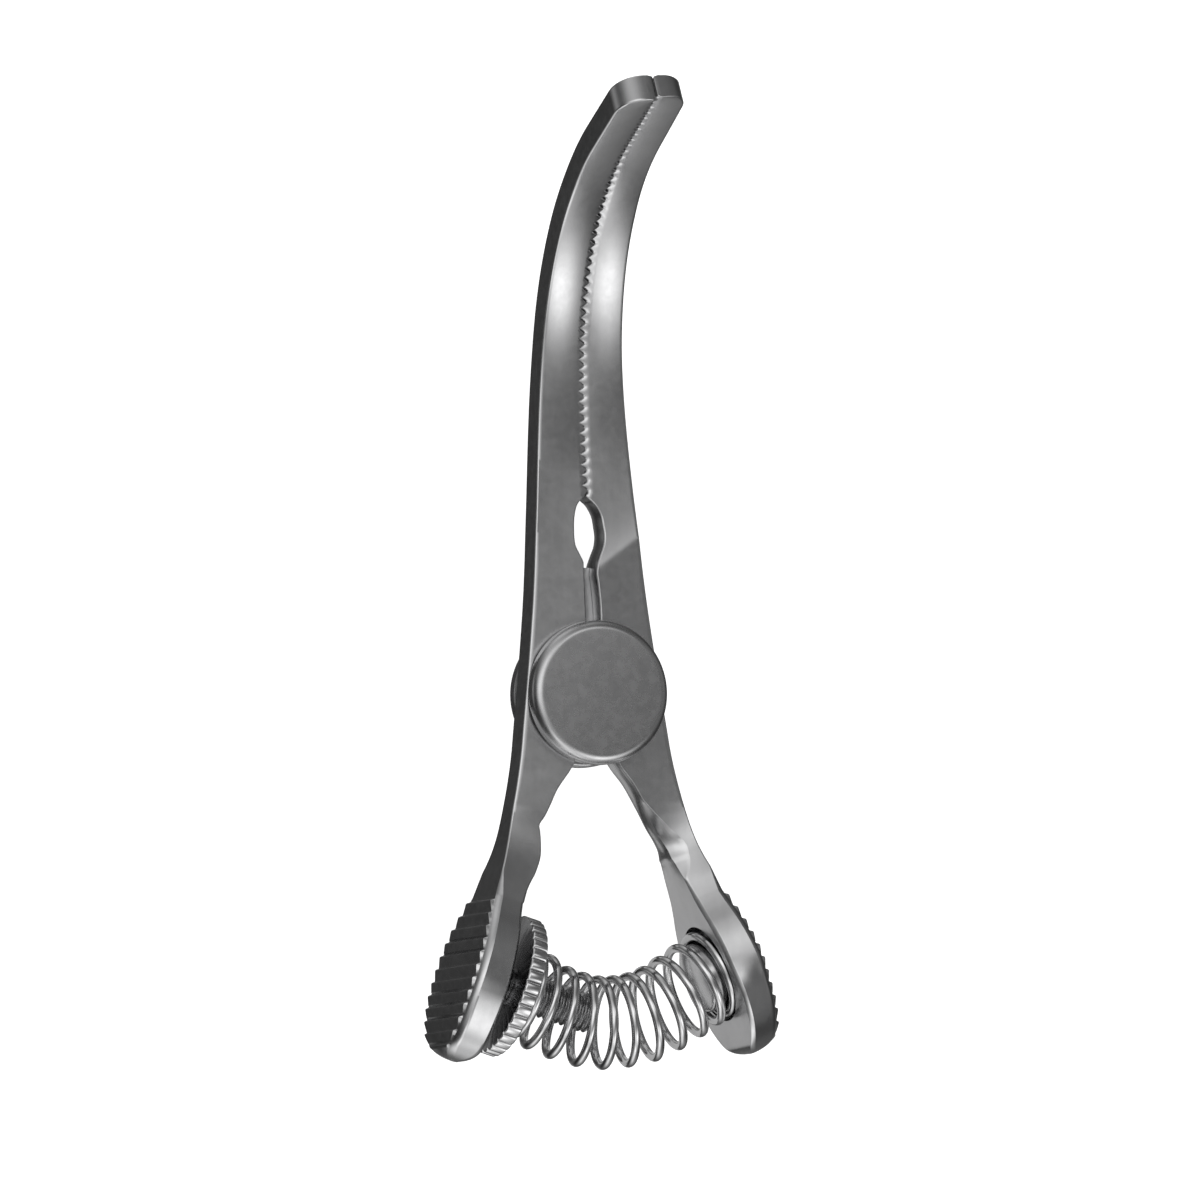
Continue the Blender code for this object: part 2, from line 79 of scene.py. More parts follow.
MM = 0.001
JOINTS = {joint["name"]: joint for joint in frame["joints"]}
PIVOT = Vector(JOINTS["jaw_hinge"]["pos_m"])
SEAT = Vector(JOINTS["nut_spin"]["pos_m"]) - PIVOT
SEAT_X = -SEAT.x
SEAT_Y = SEAT.y
PLATE_TILT = math.asin(-JOINTS["nut_spin"]["axis"][1])

# pivot
BOSS_RADIUS = 5.83 * MM
BOSS_EDGE = (0.78 * MM, 0.80 * MM)
BOSS_DOME = 0.07 * MM
BOSS_BACK_EDGE = (0.25 * MM, 0.45 * MM)
BOSS_FACE = 3.10 * MM
BOSS_BACK = 1.29 * MM
PIN_BORE = 1.46 * MM
PIN_SOCKET = 2.60 * MM
LUG_RADIUS = 4.90 * MM
LUG_POCKET = 5.05 * MM

# arms
ARM_HALF = 1.26 * MM
TIP_THICKNESS = 2.40 * MM
LUG_SKIN = 0.03 * MM
TONGUE_EDGE = -1.00 * MM
TONGUE_TOP = 10.20 * MM
LAP_CLEARANCE = 0.06 * MM
EDGE_CHAMFER = 0.11 * MM
INNER_CHAMFER = 0.12 * MM
WALL_BULGE = 0.12 * MM
CROWN = 0.17 * MM
VALLEY = math.tan(math.radians(3.0))
# y where the jaws' crown and valley begin and are full
CROWNED = (17.0 * MM, 28.0 * MM)
ROOF = math.tan(math.radians(2.0))
ROOF_RIDGE = 2.6 * MM
# y where the hinge's roof slope has gone and is full, from the jaws' side and from the plates' side
ROOF_FROM_JAWS = (18.0 * MM, 12.0 * MM)
ROOF_FROM_PLATES = (-12.0 * MM, -6.0 * MM)
# (steps, sharpness) of the corners of an arm's section
OUTER_CORNER = (5, 0.6)
INNER_CORNER = (4, 0.8)
# steps across the front, inner side and back of the section
FRONT_STEPS = 16
SIDE_STEPS = 6
BACK_STEPS = 8
# power by which the front's sag fades towards the back
SAG_FADE = 3
# largest chamfer, as a share of half an arm's depth
CHAMFER_LIMIT = 0.8
# (x, y) of the tongue's corner inside the right arm, and of the same corner of its room in the left arm
TONGUE_ROOT = (2.0 * MM, 3.0 * MM)
TONGUE_ROOM = (4.0 * MM, -1.0 * MM)
# (from, to, spacing) of the rings down a shank, in mm
RING_SPACING = ((15.4, 9.4, 0.2), (9.4, -6.0, 0.6), (-6.0, -15.5, 0.2))
SHARP_EDGE = 28

# jaws, measured along the concave front face from JAW_START
JAW_START = 15.50 * MM
JAW_LENGTH = 39.50 * MM
BEND_FROM = 0.45 * MM
BEND_FULL = 16.30 * MM
BEND_RADIUS = 21.30 * MM
BEND_ANGLE = math.radians(62.9)
TIP_CORNER = {-1: 2.15 * MM, 1: 1.75 * MM}
TIP_SEAM = 0.22 * MM
TOOTH_PITCH = 0.835 * MM
TOOTH_HEIGHT = 0.52 * MM
TOOTH_FROM = 0.88 * MM
TOOTH_STEPS = 10
TOOTH_ROUNDNESS = 0.35
WINDOW_STEPS = 6
JAW_GAP = 0.08 * MM
# (distance of the bevel's shoulder from the middle, depth of the bevel) of the left and the right jaw
BEVEL = {-1: (0.29 * MM, 0.09 * MM), 1: (0.58 * MM, 0.26 * MM)}
BEVEL_LEAST = 0.04 * MM
# depth of the bevel behind, as a share of the front one's
BEVEL_BACK = 0.5

# thumb plates
PLATE_HALF_WIDTH = 5.15 * MM
PLATE_CENTRE = -24.00 * MM
HALF_THICKNESS = 1.50 * MM
PLATE_ROUND = 0.50 * MM
PLATE_INNER_ROUND = 0.30 * MM
PLATE_END_ROUND = 1.05 * MM
# where that round begins and the last ring lies, as shares of the half width, and the power in the
# formula of the plate's outline
PLATE_END_FROM = 0.80
PLATE_LAST_RING = 0.9985
PLATE_POWER = 2.1
# y where a plate's rounder edges and ribs begin and are full
RIBBED = (-14.5 * MM, -16.5 * MM)
# slope of a plate's front edge, above and below its widest part
PLATE_LEAN = {-1: (math.tan(math.radians(8.0)), 0.05), 1: (math.tan(math.radians(9.0)), -0.21)}
# y where the upper slope begins and is full, and where it turns into the lower one
LEANED = (-9.0 * MM, -15.0 * MM)
TWISTED = (-21.5 * MM, -24.5 * MM)
# how far a plate's front edge falls short of its outline below the widest part, and from y to y
PLATE_DIP = {-1: 0.40 * MM, 1: 0.10 * MM}
DIPPED = (-22.5 * MM, -29.5 * MM)
RIB_COUNT = 12
RIB_STEPS = 12
RIB_FIRST = -16.30 * MM
RIB_PITCH = 1.04 * MM
RIB_HEIGHT = 0.30 * MM
RIB_END = 0.12 * MM
# share of a rib's pitch that its ledge takes, and where its slope would reach the plate
RIB_LEDGE = 0.30
RIB_SLOPE_END = 1.2
# half depth of the plate below which its ribs get lower
RIB_FULL_DEPTH = 1.0 * MM
# y where the sections begin to tilt with the plate, and have its full tilt
TILTED = (-6.0 * MM, -17.0 * MM)

# (y, distance from the middle plane) in mm: an arm's outer edge, which JAW_EDGE continues along the
# jaws, then each arm's inner edge round the window, the slot and the bow down to its flat plate
OUTER_EDGE = (
    (15.5, 4.27), (7.4, 4.93), (3.85, 5.34), (-2.7, 6.20), (-4.9, 6.50), (-8.7, 7.30), (-13.3, 8.65),
    (-15.9, 9.86), (-19.6, 11.50), (-23.2, 12.85), (-26.9, 13.98), (-30.5, 14.95),
)
JAW_EDGE = (
    (15.5, 4.27), (19.4, 4.00), (23.3, 3.75), (27.2, 3.53), (31.0, 3.39), (34.7, 3.26), (37.5, 3.17),
    (40.2, 3.06), (42.9, 3.01), (44.6, 2.95), (46.5, 2.87),
)
LEFT_WINDOW = (
    (15.9, 0.12), (15.4, 0.62), (14.4, 1.00), (13.4, 1.11), (12.6, 1.12), (11.9, 1.03), (11.3, 0.75),
    (10.6, 0.43), (8.3, 0.43), (5.0, 0.43),
)
RIGHT_WINDOW = (
    (15.9, 0.12), (15.5, 0.59), (14.5, 1.23), (13.4, 1.44), (12.75, 1.50), (11.95, 1.38), (11.05, 0.99),
    (10.3, 0.70), (9.8, 0.62), (8.7, 0.70), (7.1, 0.80), (5.0, 0.80),
)
LEFT_HANDLE = (
    (0.0, 0.60), (-4.0, 1.20), (-5.0, 1.60), (-6.0, 2.20), (-7.7, 3.49), (-8.95, 4.15), (-9.9, 4.71),
    (-10.5, 5.16), (-11.0, 5.12), (-12.3, 5.15), (-13.1, 5.29), (-13.9, 5.64), (-14.5, 5.98), (-15.1, 6.43),
    (-16.0, 6.97), (-16.8, 7.31),
)
RIGHT_HANDLE = (
    (0.0, 0.60), (-4.0, 1.10), (-5.0, 1.45), (-5.9, 1.95), (-7.35, 3.02), (-8.6, 3.72), (-9.8, 4.34),
    (-11.0, 4.95), (-11.9, 5.52), (-12.7, 5.95), (-13.6, 6.18),
)
# (y, half the arm's depth) in mm, where the plates widen
HALF_DEPTH = (
    (-9.0, 1.26), (-10.0, 1.28), (-11.3, 1.37), (-12.5, 1.57), (-13.75, 1.93), (-15.0, 2.40), (-16.2, 2.86),
    (-17.4, 3.45), (-18.6, 4.15), (-19.8, 4.67), (-21.0, 4.97), (-22.4, 5.12), (-24.0, 5.15),
)
# hollow grinding of the jaws: how deep it gets, over what length, and two (distance from the middle, y)
# points of the line where it starts from the flat hinge
HOLLOW = {
    -1: (0.08 * MM, 3.0 * MM, (0.89 * MM, 11.6 * MM), (3.2 * MM, 14.0 * MM)),
    1: (0.36 * MM, 3.0 * MM, (0.7 * MM, 10.0 * MM), (3.7 * MM, 12.0 * MM)),
}
# the facet where the right shank's inner edge meets the plate: the y that it runs from and to, and its
# size at either end, across and then back
FACET_RUN = (-8.6 * MM, -14.7 * MM)
FACET_SIZE = ((0.4 * MM, 1.9 * MM), (1.4 * MM, 0.3 * MM))
FACET_SWELL = 0.8

# spring and adjuster
HOLE_DEPTH = 1.90 * MM
CUTTER_RISE = 1.0 * MM
HOLE_CLEARANCE = 0.05 * MM
RECESS_RADIUS = 4.05 * MM
RECESS_DEPTH = 0.60 * MM
STUD_RADIUS = 1.65 * MM
STUD_LENGTH = 9.10 * MM
STUD_ROOT = -1.80 * MM
STUD_POINT = 0.45 * MM
THREAD_PITCH = 0.50 * MM
THREAD_DEPTH = 0.26 * MM
# heights where the thread begins and is full, and the power that shapes its groove
THREADED = (-0.2 * MM, 0.2 * MM)
THREAD_POWER = 0.8
THREAD_STEPS = 8
NUT_RADIUS = 5.80 * MM
NUT_BORE = 1.71 * MM
NUT_THICKNESS = 1.30 * MM
NUT_STANDOFF = 1.00 * MM
NUT_CHAMFER = 0.16 * MM
KNURL_COUNT = 36
KNURL_DEPTH = 0.30 * MM
KNURL_STEPS = 10
# share of a groove's depth that is a wide hollow round its narrow cut
KNURL_HOLLOW = 0.35
# depth of the grooves at the nut's faces, as a share of KNURL_DEPTH
KNURL_FACE_DEPTH = 0.35
POST_RADIUS = 2.84 * MM
POST_LENGTH = 1.35 * MM
POST_ROUND = 0.30 * MM
SPIGOT_RADIUS = 1.50 * MM
SEAT_GAP = 0.03 * MM
WIRE_RADIUS = 0.36 * MM
COIL_RADIUS = 3.46 * MM
SPRING_TURNS = (-1.9, 9.3)
SPRING_SPLIT = 1.0
# pitch of the coil on the nut, and turns of the last coil that lie flat in the recess
SEATED_PITCH = 0.78 * MM
SEATED_TURNS = 0.3
# (turn, x, y, angle of the coil's axis in degrees) of the bowed centreline, in mm
SPRING_LINE = (
    (0.0, -5.04, -24.97, -24.4),
    (1.0, -3.45, -25.68, -19.0),
    (2.0, -1.64, -26.26, -11.7),
    (3.0, 0.12, -26.50, -3.5),
    (4.0, 1.88, -26.37, 4.2),
    (5.0, 3.71, -26.02, 12.0),
    (6.0, 5.46, -25.25, 18.3),
    (7.0, 7.12, -24.33, 22.3),
    (8.0, 8.64, -23.39, 21.5),
    (8.5, 9.26, -22.99, 19.8),
)

# camera: turned to the clamp's left, dipped below the pivot axis and rolled
VIEW_TURN = math.radians(21.6)
VIEW_DIP = math.radians(-3.0)
VIEW_ROLL = math.radians(2.4)
VIEW_WIDTH = 96.6 * MM
VIEW_AIM = (1.235 * MM, 7.54 * MM)
VIEW_DISTANCE = 2.4
SENSOR = 36.0

# (direction, sharpness, brightness) of the soft glows of the room that the steel reflects
GLOWS = (
    ((-0.45, -0.05, 0.89), 5.0, 0.30),
    ((-0.50, 0.05, 0.86), 14.0, 0.50),
    ((-0.75, 0.05, 0.66), 16.0, 0.25),
    ((0.33, -0.63, 0.70), 23.0, 1.60),
    ((0.25, -0.82, 0.51), 14.0, 0.60),
    ((-0.36, -0.70, 0.62), 30.0, 1.4),
    ((0.37, -0.80, -0.47), 10.0, 0.22),
    ((-0.22, -0.97, 0.10), 20.0, 1.5),
    ((-0.25, -0.85, -0.45), 16.0, 1.0),
    ((-0.25, 0.35, 0.90), 14.0, 0.95),
    ((-0.66, 0.55, 0.50), 10.0, 0.40),
    ((-0.15, 0.98, -0.10), 6.0, 0.80),
    ((0.27, 0.38, 0.88), 60.0, 1.1),
    ((0.88, 0.15, 0.45), 7.0, 0.22),
    ((-0.80, 0.12, -0.59), 30.0, 0.40),
    ((0.12, -0.02, -0.99), 30.0, 0.30),
    ((0.50, 0.05, -0.86), 16.0, 0.2),
)
ROOM = 0.012

# (direction, degrees across, brightness) of the one lamp
KEY_LIGHT = ((-0.75, 0.15, 0.64), 30, 0.25)
FLOOR_HALF = 3.0
FLOOR_WHITE = 0.85
FLOOR_GLOW = 0.9
# glowing cards under the floor that the steel's undersides reflect: two opposite corners of each
CARD_DEPTH = 6.0 * MM
CARD_GLOW = 0.5
CARDS = {
    "under_card": ((-1.0 * MM, -33.0 * MM), (10.0 * MM, -15.4 * MM)),
    "under_card_upper": ((-3.5 * MM, -12.4 * MM), (2.5 * MM, -8.0 * MM)),
}

# (grey, roughness, scale of the grain along each axis in 1/m, spread of the roughness, bump,
# extra shine of worn edges)
STEELS = {
    "arm_steel": (0.60, 0.24, (1100, 140, 1100), 0.03, 0.10, 0.06),
    "disc_steel": (0.53, 0.27, (500, 400, 500), 0.03, 0.04, 0.06),
    "stud_steel": (0.42, 0.26, (800, 800, 800), 0.03, 0.03, 0.06),
    "bright_steel": (0.68, 0.16, (800, 800, 800), 0.02, 0.02, 0.04),
    "spring_steel": (0.66, 0.10, (800, 800, 800), 0.03, 0.04, 0.03),
}
BLUE_CAST = 0.005
# darkest and lightest tone of the steel, as shares of its grey
TONES = (0.92, 1.05)
# scale of the cloudy tones and of the smeared polish, in 1/m
CLOUD_SCALE = 260.0
SMEAR_SCALE = 1500.0
GRAIN_HEIGHT = 0.004 * MM
# how far the shade painted into a corner's colour reaches and how dark it gets, and the radius of worn edges
CORNER_REACH = 1.1 * MM
CORNER_DARKEST = 0.42
WORN_RADIUS = 0.06 * MM


# ---- shapes ----


def table(rows, value):
    """Smooth curve through rows of (key, value) in mm, whichever way the keys run."""
    keys = np.array([r[0] for r in rows]) * MM
    values = np.array([r[1] for r in rows]) * MM
    if keys[0] > keys[-1]:
        keys, values = keys[::-1], values[::-1]
    return hermite(keys, values, value)


def hermite(keys, values, value):
    """Smooth curve through the values at rising keys, its slopes limited to keep it from swinging out."""
    slopes = np.gradient(values, keys)
    value = min(max(value, keys[0]), keys[-1])
    i = int(min(max(np.searchsorted(keys, value) - 1, 0), len(keys) - 2))
    h = keys[i + 1] - keys[i]
    t = (value - keys[i]) / h
    rise = values[i + 1] - values[i]
    flat = 3 * abs(rise) / h
    a = float(np.clip(slopes[i], -flat, flat)) * h
    b = float(np.clip(slopes[i + 1], -flat, flat)) * h
    return float(values[i] + t * a + t * t * (3 * rise - 2 * a - b) + t**3 * (a + b - 2 * rise))


def ramp(value, begin, full):
    """0 at begin and before it, 1 at full and past it, in a straight line between."""
    return min(max((value - begin) / (full - begin), 0.0), 1.0)


def eased(share):
    return share * share * (3 - 2 * share)


def rounding(share):
    """0 to 1 as share goes from 0 to 1, along a quarter circle that starts level."""
    return 1 - math.sqrt(max(0.0, 1 - share * share))


def smooth(mesh, sharp):
    mesh.polygons.foreach_set("use_smooth", [True] * len(mesh.polygons))
    mesh.set_sharp_from_angle(angle=math.radians(sharp))


def mesh_object(name, points, faces, sharp=SHARP_EDGE):
    mesh = bpy.data.meshes.new(name)
    mesh.from_pydata([tuple(p) for p in points], [], faces)
    smooth(mesh, sharp)
    obj = bpy.data.objects.new(name, mesh)
    bpy.context.scene.collection.objects.link(obj)
    return obj


def loft(rings):
    """Closed skin over rings of equal length, with a flat cap on the first and the last."""
    count = len(rings[0])
    points = [p for ring in rings for p in ring]
    faces = [tuple(range(count))[::-1]]
    for k in range(len(rings) - 1):
        for i in range(count):
            j = (i + 1) % count
            faces.append((k * count + i, k * count + j, (k + 1) * count + j, (k + 1) * count + i))
    last = (len(rings) - 1) * count
    faces.append(tuple(range(last, last + count)))
    return points, faces


def lathe(profile, segments):
    """Solid of revolution about Z. The profile starts and ends on the axis and runs bottom to top outside."""
    points = [(0.0, 0.0, profile[0][1])]
    for radius, height in profile[1:-1]:
        for k in range(segments):
            angle = math.tau * k / segments
            points.append((radius * math.cos(angle), radius * math.sin(angle), height))
    points.append((0.0, 0.0, profile[-1][1]))
    faces = []
    rows = len(profile) - 2
    for k in range(segments):
        m = (k + 1) % segments
        faces.append((0, 1 + m, 1 + k))
        for r in range(rows - 1):
            a = 1 + r * segments
            b = a + segments
            faces.append((a + k, a + m, b + m, b + k))
        top = 1 + (rows - 1) * segments
        faces.append((len(points) - 1, top + k, top + m))
    return points, faces


def cylinder(radius, low, high, segments=96):
    return lathe([(0, low), (radius, low), (radius, high), (0, high)], segments)


def block(low, high):
    points = [(x, y, z) for z in (low[2], high[2]) for y in (low[1], high[1]) for x in (low[0], high[0])]
    faces = [(0, 2, 3, 1), (4, 5, 7, 6), (0, 1, 5, 4), (2, 6, 7, 3), (0, 4, 6, 2), (1, 3, 7, 5)]
    return points, faces


def cut(obj, shape, operation, place=None):
    """Applies one Boolean and drops its cutter."""
    tool = mesh_object("cutter", *shape)
    tool.matrix_world = place or Matrix.Identity(4)
    modifier = obj.modifiers.new("cut", "BOOLEAN")
    modifier.operation = operation
    modifier.object = tool
    bpy.context.view_layer.update()
    result = bpy.data.meshes.new_from_object(obj.evaluated_get(bpy.context.evaluated_depsgraph_get()))
    obj.modifiers.clear()
    obj.data = result
    bpy.data.objects.remove(tool)


def placed(obj, place):
    """Moves a mesh built round the pivot, or round a seat, into the frame."""
    obj.data.transform(Matrix.Translation(PIVOT) @ place)
    return obj


def seat_place(side):
    """Matrix of a plate's seat round the pivot, its Z axis pointing away from the plate."""
    normal = Vector((-side * math.cos(PLATE_TILT), -math.sin(PLATE_TILT), 0))
    turn = Matrix((Vector((0, 0, 1)), normal.cross(Vector((0, 0, 1))), normal)).transposed()
    return Matrix.Translation((side * SEAT_X, SEAT_Y, 0)) @ turn.to_4x4()


# ---- arms ----


def quarter(steps, sharpness):
    """(0..1, 0..1) pairs round a corner: a chamfer at sharpness 1, a quarter round at 0."""
    pairs = []
    for k in range(steps + 1):
        angle = math.pi / 2 * k / steps
        p, q = 1 - math.cos(angle), 1 - math.sin(angle)
        t = k / steps
        pairs.append((p + (t - p) * sharpness, q + (1 - t - q) * sharpness))
    return pairs


def section(start, across, back, width, depth, corners, sag, relief=0.0, bulge=0.0):
    """Ring round an arm from its outer front corner: the front, inner side, back and outer side.

    corners holds the (across, back) size of each corner, in that order. sag(p) is how far the front
    face lies behind its corners at p from the outer side. relief raises the outer side between its
    chamfers, and bulge rounds the inner side.
    """
    outer_front, inner_front, inner_back, outer_back = corners
    flat = [(outer_front[0] * p, outer_front[1] * q) for p, q in quarter(*OUTER_CORNER)]
    run = width - inner_front[0] - outer_front[0]
    flat += [(outer_front[0] + run * k / FRONT_STEPS, 0) for k in range(1, FRONT_STEPS)]
    flat += [(width - inner_front[0] * p, inner_front[1] * q) for p, q in quarter(*INNER_CORNER)[::-1]]
    run = depth - inner_back[1] - inner_front[1]
    for k in range(1, SIDE_STEPS):
        swell = bulge * math.sin(math.pi * k / SIDE_STEPS)
        flat.append((width + swell, inner_front[1] + run * k / SIDE_STEPS))
    flat += [(width - inner_back[0] * p, depth - inner_back[1] * q) for p, q in quarter(*INNER_CORNER)]
    run = width - inner_back[0] - outer_back[0]
    flat += [(width - inner_back[0] - run * k / BACK_STEPS, depth) for k in range(1, BACK_STEPS)]
    flat += [(outer_back[0] * p, depth - outer_back[1] * q) for p, q in quarter(*OUTER_CORNER)[::-1]]
    rear, fore = depth - outer_back[1] - RIB_END, outer_front[1] + RIB_END
    flat += [(-relief, q) for q in (rear, (rear + fore) / 2, fore)]
    ring = []
    for p, q in flat:
        share = 1 - q / depth
        ring.append(start + across * p + back * (q + sag(p) * share**SAG_FADE))
    return ring


def jaw_path():
    """(distance, y, z, slope) along the middle of the jaws' front face, in fine steps."""
    along = np.linspace(0.0, JAW_LENGTH, 2001)
    bend = np.clip((along - BEND_FROM) / (BEND_FULL - BEND_FROM), 0.0, 1.0)
    step = along[1] - along[0]
    slope = np.minimum(np.cumsum(bend) * step / BEND_RADIUS, BEND_ANGLE)
    y = JAW_START + np.concatenate([[0.0], np.cumsum(np.cos(slope[1:]) * step)])
    z = ARM_HALF + np.concatenate([[0.0], np.cumsum(np.sin(slope[1:]) * step)])
    return along, y, z, slope


def tooth(distance):
    """-1 to 1 along the mating faces: triangular teeth with rounded crests, nothing before the first."""
    if distance < TOOTH_FROM:
        return 0.0
    phase = (distance - TOOTH_FROM) / TOOTH_PITCH + 0.5
    wave = 4 * abs(phase - math.floor(phase + 0.5)) - 1
    return math.sin(wave * math.pi / 2) * TOOTH_ROUNDNESS + wave * (1 - TOOTH_ROUNDNESS)


def front_sag(side, y):
    """How far the front face lies behind its flat: crowned, hollow-ground jaws, a hinge like a low roof."""
    deep, run, (x0, y0), (x1, y1) = HOLLOW[side]
    lean = (y1 - y0) / (x1 - x0)
    crown = CROWN * ramp(y, *CROWNED)
    valley = VALLEY * ramp(y, *CROWNED)
    roof = ROOF * ramp(y, *ROOF_FROM_JAWS)
    half = table(JAW_EDGE, max(y, JAW_START)) / 2
    edge = table(OUTER_EDGE, y) if y < JAW_START else 2 * half

    def sag(p):
        x = edge - p
        past = (y - y0 - (x - x0) * lean) / math.hypot(1, lean)
        hollow = deep * (1 - math.exp(-past / run)) if past > 0 else 0.0
        shaped = crown * ((x - half) / half) ** 2 - valley * (x - half)
        return hollow + shaped + roof * (x - ROOF_RIDGE)

    return sag


def plate_sag(side, y, width):
    """The plates' front edges fall towards the spring, then twist level or outwards at their ends."""
    upper, lower = PLATE_LEAN[side]
    lean = (upper + (lower - upper) * eased(ramp(y, *TWISTED))) * ramp(y, *LEANED)
    roof = ROOF * ramp(y, *ROOF_FROM_PLATES)
    edge = table(OUTER_EDGE, y)
    dip = PLATE_DIP[side] * math.sin(math.pi * ramp(y, *DIPPED)) ** 2
    return lambda p: lean * (p - width / 2) + roof * (edge - p - ROOF_RIDGE) + dip


def jaw_inner(side, distance, y):
    """Distance of a jaw's inner edge from the middle plane: the window's point, then the teeth."""
    teeth = JAW_GAP / 2 + side * TOOTH_HEIGHT / 2 * tooth(max(distance, TOOTH_FROM))
    if distance >= TOOTH_FROM:
        return teeth
    point = LEFT_WINDOW[0][0] * MM
    share = ramp(y, point, JAW_START + TOOTH_FROM)
    return inner_edge(side, min(y, point)) * (1 - share) + teeth * share


def jaw_rings(side):
    """Rings from the tip back to JAW_START. side is -1 for the left arm and 1 for the right."""
    along, path_y, path_z, path_slope = jaw_path()
    corner = TIP_CORNER[side]
    corner_from = JAW_LENGTH - corner
    stops = [k * TOOTH_FROM / WINDOW_STEPS for k in range(WINDOW_STEPS)]
    stops += list(np.arange(TOOTH_FROM, corner_from, TOOTH_PITCH / TOOTH_STEPS))
    stops += [corner_from + corner * math.sin(math.radians(a)) for a in range(0, 91, 9)]
    shoulder, bevel_depth = BEVEL[side]
    rings = []
    for distance in reversed(stops):
        y = float(np.interp(distance, along, path_y))
        z = float(np.interp(distance, along, path_z))
        slope = float(np.interp(distance, along, path_slope))
        edge = table(JAW_EDGE, y)
        edge -= corner * rounding(ramp(distance, corner_from, JAW_LENGTH))
        seam = TIP_SEAM * rounding(ramp(distance, JAW_LENGTH - TIP_SEAM, JAW_LENGTH))
        inner = jaw_inner(side, distance, y) + seam
        begun = min(1.0, distance / TOOTH_FROM)
        bevel = max(shoulder * begun + (inner + INNER_CHAMFER) * (1 - begun) - inner, BEVEL_LEAST)
        drop = bevel_depth * begun + INNER_CHAMFER * (1 - begun)
        thickness = 2 * ARM_HALF + (TIP_THICKNESS - 2 * ARM_HALF) * distance / JAW_LENGTH
        chamfer = (EDGE_CHAMFER, EDGE_CHAMFER)
        rings.append(
            section(
                Vector((side * edge, y, z)),
                Vector((-side, 0, 0)),
                Vector((0.0, math.sin(slope), -math.cos(slope))),
                edge - inner,
                thickness,
                (chamfer, (bevel, drop), (bevel, BEVEL_BACK * drop), chamfer),
                front_sag(side, path_y[0] + distance),
            )
        )
    return rings


def inner_edge(side, y):
    """Distance of an arm's inner edge from the middle plane: window, slot, bow, then the flat plate."""
    rows = LEFT_WINDOW + LEFT_HANDLE if side < 0 else RIGHT_WINDOW + RIGHT_HANDLE
    if y < rows[-1][0] * MM:
        return SEAT_X + (SEAT_Y - y) * math.tan(PLATE_TILT)
    return table(rows, y)


def rib(y):
    """Height of the thumb ribs at y. Down the plate, each rises in a rounded ledge and slopes away."""
    count = (RIB_FIRST - y) / RIB_PITCH
    if not 0 <= count < RIB_COUNT:
        return 0.0
    share = count - math.floor(count)
    slope = (RIB_SLOPE_END - share) / (RIB_SLOPE_END - RIB_LEDGE)
    return RIB_HEIGHT * slope * eased(min(1.0, share / RIB_LEDGE))


def shank_levels():
    """y of each ring, from the jaw down to the end of the plate."""
    levels = [y * MM for high, low, step in RING_SPACING for y in np.arange(high, low, -step)]
    bottom = PLATE_CENTRE - PLATE_HALF_WIDTH
    first = RIB_FIRST - HALF_THICKNESS * math.sin(PLATE_TILT)
    ribs = range(-RIB_STEPS // 2, RIB_STEPS * (RIB_COUNT - 1))
    levels += [first - RIB_PITCH * k / RIB_STEPS for k in ribs]
    last = levels[-1]
    levels += [last + (bottom - last) * math.sin(math.radians(a)) for a in range(6, 91, 6)]
    return levels


def arm_rings(side):
    """Rings from the tip of the jaw to the end of the plate. The plate's sections tilt with it."""
    rings = jaw_rings(side)
    lean_full = HALF_THICKNESS * math.sin(PLATE_TILT)
    for y in shank_levels():
        lean = HALF_THICKNESS * math.sin(PLATE_TILT * ramp(y, *TILTED))
        outer = Vector((table(OUTER_EDGE, y + lean), y + lean, 0))
        inner = Vector((inner_edge(side, y - lean), y - lean, 0))
        across = (inner - outer).normalized()
        width = (inner - outer).length
        below = min(max((PLATE_CENTRE - y) / PLATE_HALF_WIDTH, 0.0), PLATE_LAST_RING)
        half = table(HALF_DEPTH, y) * math.sqrt(1 - below**PLATE_POWER)
        ribbed = ramp(y, *RIBBED)
        end = ramp(below, PLATE_END_FROM, 1.0)
        end_round = PLATE_END_ROUND * rounding(end)
        trim = ribbed * RIB_HEIGHT / 2 + end_round
        outer = outer + across * trim
        width -= trim + end_round
        chamfer = min(EDGE_CHAMFER + ribbed * (PLATE_ROUND - EDGE_CHAMFER), CHAMFER_LIMIT * half)
        inside = min(INNER_CHAMFER + ribbed * (PLATE_INNER_ROUND - INNER_CHAMFER), CHAMFER_LIMIT * half)
        along = ramp(y, *FACET_RUN) if side > 0 else 0.0
        swell = math.sin(math.pi * along) ** FACET_SWELL
        facet = [inside + swell * (near + (far - near) * along) for near, far in FACET_SIZE]
        rings.append(
            section(
                Vector((side * outer.x, outer.y, half)),
                Vector((side * across.x, across.y, 0)),
                Vector((0, 0, -1)),
                width,
                2 * half,
                ((chamfer, chamfer), facet, (inside, inside), (chamfer, chamfer)),
                front_sag(side, y) if y > 0 else plate_sag(side, y, width),
                rib(y + lean_full) * min(1.0, half / RIB_FULL_DEPTH) * (1 - end),
                WALL_BULGE * (1 - ribbed),
            )
        )
    return rings


